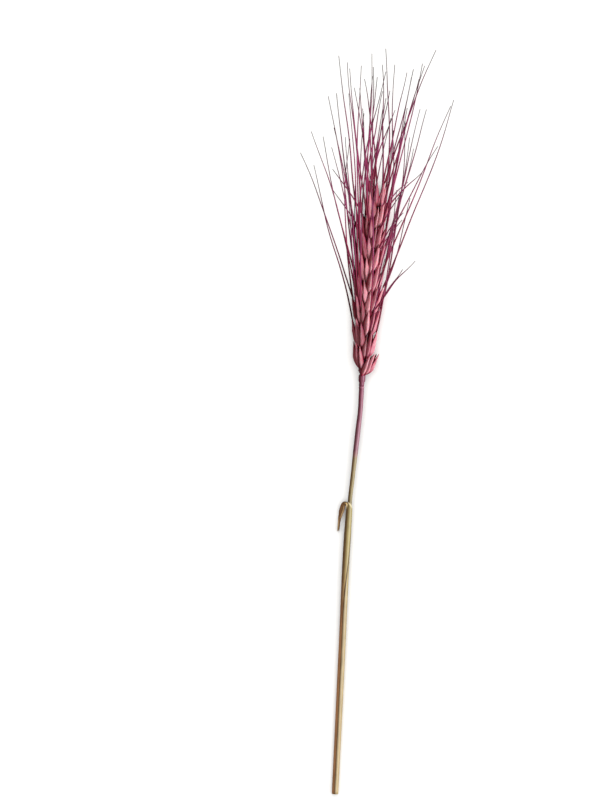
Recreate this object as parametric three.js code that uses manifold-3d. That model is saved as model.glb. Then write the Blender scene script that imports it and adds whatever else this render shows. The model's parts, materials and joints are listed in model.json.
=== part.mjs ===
// A dried, dyed wheat ear on its cut stem, lying on a flat surface.
// Millimetres. +Z is up, and +Y runs from the cut end of the stem to the tips of the awns.
// The origin is on the surface, in the middle of the space that the stalk takes up.
import * as THREE from "three";
import { mergeVertices } from "three/addons/utils/BufferGeometryUtils.js";
import Module from "manifold-3d";

const wasm = await Module();
wasm.setup();

// Where the ear meets the stem, and the gap between pieces that touch
const earFoot = new THREE.Vector3(-7.7, 17.0, 3.9);
const touchGap = 0.3;

// Ear: a stalk of joints that carries a spikelet at each, left and right by turns
const spikeletCount = 17;
const firstJoint = 5;
const firstSpacing = 2.4;
const jointSpacing = 5.05;
const earTop = 97;
const earSlope = 0.055;
const earCurve = 0.0003;
const earRoll = -0.15;
const earTwist = 0.05;
const zigzag = 0.6;
const rachisSides = 6;
const rachisRadii = [[0, 1.15], [2.4, 1.6], [4.2, 1.65], [16, 1.5], [70, 1.4], [97, 0.9]];

// Spikelet: two glumes outside, and three florets in a fan between them
const spikeletLean = { low: 0.13, middle: 0.19, high: 0.14 };
const spikeletSize = { low: 0.92, middle: 1.0, high: 0.88 };
const spikeletFlare = { low: 0.5, middle: 1.0, high: 0.7 };
const lowestSpikelet = { lean: 0.4, size: 0.78 };
const gradingLow = 0.25;
const gradingHigh = 0.6;
const huskSides = 5;
const floret = { length: 16, width: 3.4, thickness: 2.8, bow: 0.4 };
const glume = { length: 14, width: 3.5, thickness: 2.2, bow: 0.4 };
const floretSeat = { fan: 0.15, out: 0.05, spread: 0.7, shift: 0.3, turn: 0.75 };
const glumeSeat = { fan: 0.17, out: -0.06, spread: 1.1, shift: -0.5, turn: 0.4 };
const glumeSink = { least: 0.7, most: 1.1 };
const floretSink = { least: 0.2, most: 0.6 };
const middleFloret = { rise: 1.4, out: 0.8, tilt: 0.1, size: 0.92 };
const leanVariation = 0.2;
const sizeVariation = 0.06;
const huskStray = 0.07;
const floretProfile = [[0, 0], [0.05, 0.4], [0.36, 1], [0.7, 0.63], [1, 0]];
const glumeProfile = [[0, 0], [0.05, 0.4], [0.38, 1], [0.72, 0.62], [1, 0]];
const innerFloret = { rise: 0.5, spread: 0.3 };
const unawnedSpikelets = 2;

// Awns: long bristles that run on from the florets' tips
const awnsPerSpikelet = 5;
const awnSides = 3;
const awnSteps = 4;
const awnRadius = 0.34;
const awnRootShare = 0.84;
const innerAwnRootShare = 0.5;
const awnLength = { low: 60, middle: 98, high: 72 };
const awnLengthShare = { least: 0.45, most: 1 };
const awnLeastSpread = { low: 0, middle: -0.16, high: -0.5 };
const awnMostSpread = 0.42;
const awnCurl = 0.34;
const awnBend = { runOn: 0.16, heading: 0.22 };
const awnTip = { runOn: 0.08, heading: 0.92, curl: 0.3 };
const awnLowest = { least: 0.45, most: 1.05 };
const awnClump = { spikelets: 3, pull: 0.5 };
const strayAwn = { share: 0.1, spread: 0.7, length: 0.35 };

// Stem: a hollow straw, open at its cut end. Its line goes from the ear down to the cut end.
const stemSides = 10;
const stemStep = 6;
const stemLine = [
  [0, 0, 0],
  [-0.6, -11.4, -0.1],
  [-1.7, -20.9, -0.2],
  [-4.4, -44.7, -0.55],
  [-5.6, -55.6, -0.7],
  [-7.4, -82.7, -1.0],
  [-9.1, -120.7, -1.4],
  [-10.9, -158.7, -1.9],
  [-12.6, -194, -2.3],
];
const stemRadii = [[0, 1.05], [4, 1.2], [9, 1.08], [24, 1.25], [44, 1.02], [56, 0.98]];
const stemBore = { radius: 0.55, depth: 60 };

// Leaf: a sheath wrapped round the lower stem, with the torn foot of its blade folded out at the collar
const collarAt = 55.5;
const sheathInner = 1.26;
const sheathOuter = 1.66;
const sheathSlit = 0.3;
const sheathTurn = 1.75;
const sheathTurnFrom = 0.05;
const sheathTurnTo = 0.38;
const sheathStart = 0.05;
const sheathSteps = 24;
const sheathArcPoints = 7;
const bladeLine = [
  [-1.9, -3.4, 0.2],
  [-2.0, -1.2, 0.3],
  [-3.1, -0.9, 0.2],
  [-4.4, -5.2, -0.6],
  [-5.7, -15.2, -1.7],
];
const bladeWidth = { foot: 2.4, tip: 0.9 };
const bladeThickness = 0.6;
const bladeSteps = 12;
const bladeTwist = 1.1;

// Finish
const chaffColour = "#9c5060";
const strawColour = "#b39a6e";
const leafColour = "#a88f63";
const dryRoughness = 0.7;

// Size of the block that trims the underside flat, and how fine a joined solid is kept
const trimBlock = 800;
const joinTolerance = 0.08;
const mergeDistance = 1e-4;

const up = new THREE.Vector3(0, 0, 1);

// A seeded draw from 0 to 1: the same index and channel always give the same value.
function draw(index, channel) {
  const wave = Math.sin(index * 12.9898 + channel * 78.233) * 43758.5453;
  return wave - Math.floor(wave);
}

// A value in a range, for a share from 0 to 1.
function between(range, share) {
  return THREE.MathUtils.lerp(range.least, range.most, share);
}

// A value made a little larger or smaller by a seeded draw.
function vary(value, variation, index, channel) {
  return value * (1 + variation * (2 * draw(index, channel) - 1));
}

// A value that grades from low through middle to high, for a share of the ear's length from 0 to 1.
function grade(values, share) {
  const rise = THREE.MathUtils.smoothstep(share, 0, gradingLow);
  const fall = THREE.MathUtils.smoothstep(share, gradingHigh, 1);
  const lower = THREE.MathUtils.lerp(values.low, values.middle, rise);
  return THREE.MathUtils.lerp(lower, values.high, fall);
}

// The radius at a distance along a stalk, from a list of distances and radii.
function radiusAt(stops, along) {
  const next = Math.max(1, stops.findIndex(([distance]) => distance >= along));
  const [from, near] = stops[next - 1];
  const [to, far] = stops[next];
  return THREE.MathUtils.mapLinear(along, from, to, near, far);
}

// A closed geometry as a solid that can be joined and cut.
function solidOf(geometry) {
  const bare = new THREE.BufferGeometry();
  bare.setAttribute("position", geometry.getAttribute("position"));
  bare.setIndex(geometry.getIndex());
  const merged = mergeVertices(bare, mergeDistance);
  const corners = merged.getIndex().array;
  const kept = [];
  for (let i = 0; i < corners.length; i += 3) {
    const [a, b, c] = corners.slice(i, i + 3);
    if (a !== b && b !== c && c !== a) kept.push(a, b, c);
  }
  const vertProperties = merged.getAttribute("position").array;
  return new wasm.Manifold(new wasm.Mesh({ numProp: 3, vertProperties, triVerts: new Uint32Array(kept) }));
}

// The main body of a joined solid as a geometry: sealed hollows are filled and loose scraps dropped.
function geometryOf(solid) {
  const bodies = solid.simplify(joinTolerance).decompose();
  const main = bodies.reduce((best, body) => (body.volume() > best.volume() ? body : best));
  const mesh = main.getMesh();
  const geometry = new THREE.BufferGeometry();
  geometry.setAttribute("position", new THREE.BufferAttribute(mesh.vertProperties, mesh.numProp));
  geometry.setIndex(new THREE.BufferAttribute(mesh.triVerts, 1));
  geometry.computeVertexNormals();
  return geometry;
}

// What lies below the surface is cut away, which leaves small flat spots where the stalk rests.
function trimmed(solid) {
  const below = new THREE.BoxGeometry(trimBlock, trimBlock, trimBlock).translate(0, 0, -trimBlock / 2);
  return solid.subtract(solidOf(below));
}

// Moves each point of a geometry to where a function of its coordinates says.
function reshape(geometry, move) {
  const position = geometry.getAttribute("position");
  const point = new THREE.Vector3();
  for (let i = 0; i < position.count; i++) {
    const moved = move(point.fromBufferAttribute(position, i).clone());
    position.setXYZ(i, moved.x, moved.y, moved.z);
  }
  return geometry;
}

function meshOf(name, geometry, colour) {
  const material = new THREE.MeshStandardMaterial({ color: colour, roughness: dryRoughness, metalness: 0 });
  const mesh = new THREE.Mesh(geometry, material);
  mesh.name = name;
  return mesh;
}

// Ear

// The point on the ear's axis at a distance from its foot, and the axis's direction there.
function earPoint(along) {
  return new THREE.Vector3(earSlope * along + earCurve * along * along, along, 0).add(earFoot);
}

function earDirection(along) {
  return new THREE.Vector3(earSlope + 2 * earCurve * along, 1, 0).normalize();
}

// The axis and the two directions across it: right is the way of the two rows, face is the broad side.
function earFrame(along) {
  const axis = earDirection(along);
  const face = up.clone().applyAxisAngle(axis, earRoll + (earTwist * along) / earTop);
  const right = new THREE.Vector3().crossVectors(axis, face);
  return { axis, face, right };
}

// How far along the ear a spikelet's joint is. The lowest two are close together.
function jointAt(index) {
  return index === 0 ? firstJoint : firstJoint + firstSpacing + (index - 1) * jointSpacing;
}

// The number of the joint at a distance along the ear, with a fraction between two joints.
function jointNumber(along) {
  const past = along - firstJoint;
  return past < firstSpacing ? past / firstSpacing : 1 + (past - firstSpacing) / jointSpacing;
}

function rachis() {
  const stops = [0, firstJoint / 2];
  for (let i = 0; i < spikeletCount; i++) stops.push(jointAt(i));
  const outline = stops.map((along) => new THREE.Vector2(radiusAt(rachisRadii, along), along));
  const profile = [new THREE.Vector2(0, 0), ...outline, new THREE.Vector2(0, stops.at(-1))];
  return reshape(new THREE.LatheGeometry(profile, rachisSides), (point) => {
    const joint = jointNumber(point.y);
    const sway = joint < 0 ? 0 : zigzag * Math.cos(Math.PI * joint);
    const centre = earPoint(point.y).addScaledVector(earFrame(point.y).right, sway);
    return centre.add(new THREE.Vector3(point.x, 0, point.z));
  });
}

// A pointed husk: a lathe spindle, flattened, with its belly bowed outwards.
function husk(place, form, profile) {
  const outline = profile.map(([along, girth]) => new THREE.Vector2(girth, along));
  const spindle = new THREE.LatheGeometry(outline, huskSides, Math.PI / huskSides);
  const size = place.size;
  reshape(spindle, ({ x, y, z }) => {
    const bowed = (z * form.thickness) / 2 + form.bow * Math.sin(Math.PI * y);
    return new THREE.Vector3(((x * form.width) / 2) * size, y * form.length * size, bowed * size);
  });
  const across = new THREE.Vector3().crossVectors(place.along, place.facing);
  const turn = new THREE.Matrix4().makeBasis(across, place.along, place.facing);
  return spindle.applyMatrix4(turn.setPosition(place.root));
}

// Where a husk sits: its root, the way it points and the way its back faces.
function huskPlace(root, pointing, facing, size) {
  const along = pointing.clone().normalize();
  const back = facing.clone().addScaledVector(along, -facing.dot(along)).normalize();
  return { root, along, facing: back, size };
}

// The places of one spikelet's glumes and florets. Of the inner florets, only the awns show.
// The lowest spikelet is small and stands out. The topmost is on the end of the rachis, turned a quarter.
function spikelet(index) {
  const along = jointAt(index);
  const share = index / (spikeletCount - 1);
  const frame = earFrame(along);
  const lowest = index === 0;
  const topmost = index === spikeletCount - 1;
  const side = index % 2 === 0 ? 1 : -1;
  const usualLean = topmost ? 0 : vary(grade(spikeletLean, share), leanVariation, index, 1);
  const usualSize = vary(grade(spikeletSize, share), sizeVariation, index, 2);
  const { lean, size } = lowest ? lowestSpikelet : { lean: usualLean, size: usualSize };
  const out = topmost ? frame.face.clone() : frame.right.clone().multiplyScalar(side);
  const fan = topmost ? frame.right.clone() : frame.face.clone();
  const pointing = frame.axis.clone().multiplyScalar(Math.cos(lean)).addScaledVector(out, Math.sin(lean));
  const outward = out.clone().multiplyScalar(Math.cos(lean)).addScaledVector(frame.axis, -Math.sin(lean));
  const root = earPoint(along).addScaledVector(out, topmost ? 0 : zigzag);
  const flare = grade(spikeletFlare, share);
  const glumes = [1, -1].map((way) => {
    const sink = between(glumeSink, draw(index, 8 + way));
    const seat = root.clone().addScaledVector(fan, way * glumeSeat.spread).addScaledVector(pointing, -sink);
    seat.addScaledVector(outward, glumeSeat.shift);
    const stray = flare * huskStray * (2 * draw(index, 31 + way) - 1);
    const reach = pointing.clone().addScaledVector(fan, way * Math.tan(glumeSeat.fan) + stray);
    reach.addScaledVector(outward, flare * glumeSeat.out);
    const facing = fan.clone().multiplyScalar(way).addScaledVector(outward, glumeSeat.turn);
    return huskPlace(seat, reach, facing, size);
  });
  const florets = [1, -1, 0].map((way) => {
    const sink = between(floretSink, draw(index, 11 + way));
    const seat = root.clone().addScaledVector(fan, way * floretSeat.spread).addScaledVector(pointing, -sink);
    seat.addScaledVector(outward, floretSeat.shift);
    const stray = flare * huskStray * (2 * draw(index, 41 + way) - 1);
    const reach = pointing.clone().addScaledVector(fan, way * Math.tan(floretSeat.fan) + stray);
    reach.addScaledVector(outward, flare * floretSeat.out);
    const facing = fan.clone().multiplyScalar(way).addScaledVector(outward, floretSeat.turn);
    if (way !== 0) return huskPlace(seat, reach, facing, size);
    seat.addScaledVector(pointing, middleFloret.rise).addScaledVector(outward, middleFloret.out);
    reach.addScaledVector(outward, flare * middleFloret.tilt);
    return huskPlace(seat, reach, facing, size * middleFloret.size);
  });
  const innerFlorets = [1, -1].map((way) => {
    const seat = root.clone().addScaledVector(fan, way * innerFloret.spread);
    seat.addScaledVector(pointing, innerFloret.rise);
    const reach = pointing.clone().addScaledVector(fan, way * Math.tan(floretSeat.fan));
    return huskPlace(seat, reach, fan.clone().multiplyScalar(way), size);
  });
  return { index, share, frame, glumes, florets, innerFlorets };
}

// A bristle that leaves a floret the way the floret points, then swings to its own direction.
// Awns of neighbouring spikelets on one side head much the same way, and a few stray ones are short.
function awn(place, home, channel) {
  const rootShare = channel < home.florets.length ? awnRootShare : innerAwnRootShare;
  const along = floret.length * place.size * rootShare;
  const lift = floret.bow * place.size * Math.sin(Math.PI * rootShare);
  const start = place.root.clone().addScaledVector(place.along, along).addScaledVector(place.facing, lift);
  const key = home.index * awnsPerSpikelet + channel;
  const stray = draw(key, 9) < strayAwn.share;
  const fullLength = grade(awnLength, home.share) * between(awnLengthShare, Math.sqrt(draw(key, 4)));
  const length = stray ? fullLength * strayAwn.length : fullLength;
  const axis = home.frame.axis;
  const outward = place.along.clone().addScaledVector(axis, -place.along.dot(axis)).normalize();
  const sideways = new THREE.Vector3().crossVectors(axis, outward);
  const stretch = Math.floor(home.index / (2 * awnClump.spikelets)) * 2 + (home.index % 2);
  const clump = stretch * awnsPerSpikelet + channel;
  const spreadDraw = THREE.MathUtils.lerp(draw(key, 5), draw(clump, 5), awnClump.pull);
  const swingDraw = THREE.MathUtils.lerp(draw(key, 6), draw(clump, 6), awnClump.pull);
  const leastSpread = grade(awnLeastSpread, home.share);
  const usualSpread = THREE.MathUtils.lerp(leastSpread, awnMostSpread, spreadDraw);
  const spread = stray ? strayAwn.spread : usualSpread;
  const swing = (swingDraw - 0.5) * 2 * awnCurl;
  const heading = axis.clone().multiplyScalar(Math.cos(spread)).addScaledVector(outward, Math.sin(spread));
  heading.addScaledVector(sideways, swing).normalize();
  const runOn = place.along.clone().multiplyScalar(length);
  const run = heading.clone().multiplyScalar(length);
  const bend = start.clone().addScaledVector(runOn, awnBend.runOn).addScaledVector(run, awnBend.heading);
  const tip = start.clone().addScaledVector(runOn, awnTip.runOn).addScaledVector(run, awnTip.heading);
  tip.addScaledVector(outward, awnTip.curl * awnCurl * length * (2 * draw(key, 7) - 1));
  const lowest = between(awnLowest, draw(key, 8));
  bend.z = Math.max(bend.z, lowest);
  tip.z = Math.max(tip.z, lowest);
  const line = new THREE.QuadraticBezierCurve3(start, bend, tip);
  const needle = new THREE.ConeGeometry(awnRadius, 1, awnSides, awnSteps).translate(0, 0.5, 0);
  const across = new THREE.Vector3().crossVectors(heading, up).normalize();
  const over = new THREE.Vector3().crossVectors(across, heading);
  return reshape(needle, ({ x, y, z }) => {
    return line.getPoint(y).addScaledVector(across, x).addScaledVector(over, z);
  });
}

function ear() {
  const pieces = [rachis()];
  for (let index = 0; index < spikeletCount; index++) {
    const home = spikelet(index);
    for (const place of home.glumes) pieces.push(husk(place, glume, glumeProfile));
    for (const place of home.florets) pieces.push(husk(place, floret, floretProfile));
    if (index < unawnedSpikelets) continue;
    const awned = [...home.florets, ...home.innerFlorets];
    awned.forEach((place, channel) => pieces.push(awn(place, home, channel)));
  }
  return geometryOf(trimmed(wasm.Manifold.union(pieces.map(solidOf))));
}

// Stem and leaf

const stemCurve = new THREE.CatmullRomCurve3(
  stemLine.map((offset) => new THREE.Vector3(...offset).add(earFoot)),
  false,
  "catmullrom",
);
const stemLength = stemCurve.getLength();

// The point of the stem's line at a distance below the ear.
function stemPoint(below) {
  return stemCurve.getPointAt(THREE.MathUtils.clamp(below / stemLength, 0, 1));
}

// Lays a geometry that was made along -Y on the stem's line.
function alongStem(geometry) {
  return reshape(geometry, ({ x, y, z }) => stemPoint(-y).add(new THREE.Vector3(x, 0, z)));
}

function stem() {
  const profile = [new THREE.Vector2(0, -stemLength + stemBore.depth)];
  const hollowSteps = Math.round(stemBore.depth / stemStep);
  for (let i = 0; i <= hollowSteps; i++) {
    profile.push(new THREE.Vector2(stemBore.radius, -stemLength + stemBore.depth * (1 - i / hollowSteps)));
  }
  const [lastStop, lastRadius] = stemRadii.at(-1);
  const lowerSteps = Math.round((stemLength - lastStop) / stemStep);
  for (let i = 0; i < lowerSteps; i++) {
    profile.push(new THREE.Vector2(lastRadius, THREE.MathUtils.lerp(-stemLength, -lastStop, i / lowerSteps)));
  }
  for (const [below, radius] of [...stemRadii].reverse()) {
    profile.push(new THREE.Vector2(radius, -Math.max(below, touchGap)));
  }
  profile.push(new THREE.Vector2(0, -touchGap));
  return alongStem(new THREE.LatheGeometry(profile, stemSides));
}

// A tube slit along one side. The slit winds part of the way round the stem, then runs straight.
function sheath() {
  const length = stemLength - collarAt;
  const half = sheathSlit / sheathOuter;
  const section = new THREE.Shape();
  section.absarc(0, 0, sheathOuter, half, 2 * Math.PI - half, false);
  section.absarc(0, 0, sheathInner, 2 * Math.PI - half, half, true);
  const tube = new THREE.ExtrudeGeometry(section, {
    depth: length,
    steps: sheathSteps,
    bevelEnabled: false,
    curveSegments: sheathArcPoints,
  });
  reshape(tube, ({ x, y, z }) => {
    const winding = THREE.MathUtils.smoothstep(z / length, sheathTurnFrom, sheathTurnTo);
    const turn = sheathStart + sheathTurn * winding;
    const across = new THREE.Vector2(x, y).rotateAround(new THREE.Vector2(), turn);
    return new THREE.Vector3(across.x, -collarAt - z, across.y);
  });
  return alongStem(tube);
}

// The foot of the leaf's blade: a strip that folds over at the collar and hangs beside the stem.
function tornBlade() {
  const collar = stemPoint(collarAt);
  const points = bladeLine.map((offset) => new THREE.Vector3(...offset).add(collar));
  const line = new THREE.CatmullRomCurve3(points);
  const strip = new THREE.BoxGeometry(1, 1, 1, 1, bladeSteps, 1).translate(0, 0.5, 0);
  return reshape(strip, ({ x, y, z }) => {
    const width = THREE.MathUtils.lerp(bladeWidth.foot, bladeWidth.tip, y);
    const along = line.getTangentAt(y);
    const flat = up.clone().applyAxisAngle(along, bladeTwist * (1 - y));
    const across = new THREE.Vector3().crossVectors(along, flat).normalize();
    const over = new THREE.Vector3().crossVectors(across, along);
    return line.getPointAt(y).addScaledVector(across, x * width).addScaledVector(over, z * bladeThickness);
  });
}

function leaf() {
  return geometryOf(trimmed(solidOf(sheath()).add(solidOf(tornBlade()))));
}

const stalk = new THREE.Group();
stalk.add(meshOf("ear", ear(), chaffColour));
stalk.add(meshOf("stem", geometryOf(solidOf(stem())), strawColour));
stalk.add(meshOf("leaf_sheath", leaf(), leafColour));

export default stalk;
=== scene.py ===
# A dried bearded wheat ear, dyed plum pink, on its cut straw.
# It lies on a pale floor and is seen from straight above.
import json
import math
import bpy
from mathutils import Matrix, Vector, noise

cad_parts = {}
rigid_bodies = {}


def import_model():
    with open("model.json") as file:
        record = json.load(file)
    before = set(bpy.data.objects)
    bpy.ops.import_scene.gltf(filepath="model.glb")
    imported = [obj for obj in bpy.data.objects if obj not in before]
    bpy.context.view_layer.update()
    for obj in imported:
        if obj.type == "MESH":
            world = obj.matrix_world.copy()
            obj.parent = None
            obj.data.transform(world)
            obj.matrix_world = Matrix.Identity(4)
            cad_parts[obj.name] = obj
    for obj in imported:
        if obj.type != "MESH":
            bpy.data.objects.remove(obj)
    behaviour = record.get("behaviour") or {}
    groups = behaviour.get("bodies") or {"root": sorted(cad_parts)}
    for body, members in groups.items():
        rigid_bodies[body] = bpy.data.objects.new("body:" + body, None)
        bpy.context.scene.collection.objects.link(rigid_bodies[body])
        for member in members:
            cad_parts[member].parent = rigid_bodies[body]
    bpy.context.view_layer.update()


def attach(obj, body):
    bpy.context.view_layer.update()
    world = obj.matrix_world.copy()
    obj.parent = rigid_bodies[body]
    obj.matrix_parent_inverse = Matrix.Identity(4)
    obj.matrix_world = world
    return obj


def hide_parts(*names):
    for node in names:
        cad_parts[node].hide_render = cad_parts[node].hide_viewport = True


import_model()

mm = 0.001  # the frame is in metres
up = Vector((0, 0, 1))
earFoot = Vector((-7.7, 17.0, 3.9)) * mm  # where the ear meets the straw, as in the solids


# Small helpers

def draw(index, channel):  # a seeded draw from 0 to 1, the same as in the solids
    wave = math.sin(index * 12.9898 + channel * 78.233) * 43758.5453
    return wave - math.floor(wave)


def between(span, share):
    return span[0] + (span[1] - span[0]) * share


def smoothStep(value, low, high):
    share = min(max((value - low) / (high - low), 0), 1)
    return share * share * (3 - 2 * share)


def vary(value, variation, index, channel):
    return value * (1 + variation * (2 * draw(index, channel) - 1))


def linear(hexText):  # sRGB hex to the linear colour that a socket takes
    channels = [int(hexText[i:i + 2], 16) / 255 for i in (1, 3, 5)]
    return [c / 12.92 if c <= 0.04045 else ((c + 0.055) / 1.055) ** 2.4 for c in channels] + [1]


def addNode(tree, kind, inputs=None, stops=(), **settings):  # stops are a ramp's places and sRGB hexes
    node = tree.nodes.new(kind)
    for name, value in settings.items():
        setattr(node, name, value)
    for key, value in (inputs or {}).items():
        if isinstance(value, bpy.types.NodeSocket):
            tree.links.new(value, node.inputs[key])
        else:
            node.inputs[key].default_value = value
    for count, (place, colour) in enumerate(stops):
        if count >= len(node.color_ramp.elements):
            node.color_ramp.elements.new(place)
        node.color_ramp.elements[count].position = place
        node.color_ramp.elements[count].color = linear(colour)
    return node


def newMesh(name, points, faces, marks=None, edges=()):
    mesh = bpy.data.meshes.new(name)
    mesh.from_pydata(points, edges, faces)
    for mark, values in (marks or {}).items():  # a mark is a named value on each point
        flat = isinstance(values[0], (int, float))
        attribute = mesh.attributes.new(mark, "FLOAT" if flat else "FLOAT_VECTOR", "POINT")
        if flat:
            attribute.data.foreach_set("value", values)
        else:
            attribute.data.foreach_set("vector", [part for value in values for part in value])
    mesh.update()
    return mesh


def newObject(name, mesh, material=None):
    piece = bpy.data.objects.new(name, mesh)
    bpy.context.scene.collection.objects.link(piece)
    if material:
        mesh.materials.append(material)
    return piece


def gridFaces(rows, columns, wrap):  # faces of a grid of points, row by row
    faces = []
    for row in range(rows - 1):
        for column in range(columns if wrap else columns - 1):
            beside = (column + 1) % columns
            low, high = row * columns, (row + 1) * columns
            faces.append((low + column, low + beside, high + beside, high + column))
    return faces


def wallEnds(rows, ring, turnFirst):  # closes the two ends of a wall made of an outer and an inner skin
    faces = []
    for base, turned in ((0, turnFirst), (rows * ring, not turnFirst)):
        for step in range(ring // 2 - 1):
            face = (base + step, base + step + 1, base + ring - 2 - step, base + ring - 1 - step)
            faces.append(tuple(reversed(face)) if turned else face)
    return faces


def smoothLine(points, perSpan=24):  # a uniform Catmull-Rom curve through the points
    points = [2 * points[0] - points[1], *points, 2 * points[-1] - points[-2]]
    line = []
    for a, b, c, d in zip(points, points[1:], points[2:], points[3:]):
        for step in range(perSpan):
            t = step / perSpan
            bend = (2 * a - 5 * b + 4 * c - d) * t * t + (3 * b - a - 3 * c + d) * t * t * t
            line.append(b + ((c - a) * t + bend) / 2)
    return line + [points[-2]]


def measureLine(line):  # how far along the line each of its points is
    lengths = [0]
    for a, b in zip(line, line[1:]):
        lengths.append(lengths[-1] + (b - a).length)
    return lengths


def lineAt(line, lengths, distance):  # the place and the direction at a distance along the line
    span = 0
    while span < len(line) - 2 and lengths[span + 1] < distance:
        span += 1
    share = (distance - lengths[span]) / (lengths[span + 1] - lengths[span])
    return line[span].lerp(line[span + 1], share), (line[span + 1] - line[span]).normalized()


def radiusAt(stops, along):
    for (start, near), (end, far) in zip(stops, stops[1:]):
        if along <= end:
            return between((near, far), smoothStep(along, start, end))
    return stops[-1][1]


def finishPiece(piece, node):
    for polygon in piece.data.polygons:
        polygon.use_smooth = True
    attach(piece, "root")
    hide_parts(node)


def bakeNodes(piece):  # turns what the modifier makes into a plain mesh, and takes the modifier off
    made = bpy.data.meshes.new_from_object(piece.evaluated_get(bpy.context.evaluated_depsgraph_get()))
    made.name = piece.name
    piece.modifiers.clear()
    piece.data = made


def useTree(piece, tree, values):
    modifier = piece.modifiers.new("build", "NODES")
    modifier.node_group = tree
    for item in tree.interface.items_tree:
        if item.name in values:
            modifier[item.identifier] = values[item.name]
    bakeNodes(piece)


# Materials

def newMaterial(name):
    material = bpy.data.materials.new(name)
    material.use_nodes = True
    return material, material.node_tree, material.node_tree.nodes["Principled BSDF"]


chaffLook = {
    # The deepest red is painted shade on each husk's root, edges and inner side; the palest dusty colour is
    # partly real dust and partly painted light on the exposed backs; the rib colour is the pale nerves,
    # partly painted highlight.
    "deep": "#5c0614", "body": "#8c2440", "dustyAndPaintedLight": "#aa6a74", "rib": "#d6b2b6", "bloom": "#862c54",
    "huskVariety": 0.8,  # some husks took more dye than others
    "patchSize": 7, "patchShare": 0.9,  # mm, the dye took unevenly in patches
    "paleFrom": 0.45, "bloomFrom": (0.5, 0.7), "bloomMost": 0.5,
    "fibreSize": 0.2,  # mm across, fine fibres along each husk
    "fibreLength": 3, "fibreHeight": 0.12,  # mm
    "shade": (0.7, 1.15), "roughness": (0.4, 0.6), "sheen": 0.1,
    "glow": 0.2, "glowReach": 2, "glowTint": (1, 0.12, 0.16),  # light goes 2 mm in, the red furthest
}


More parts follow.
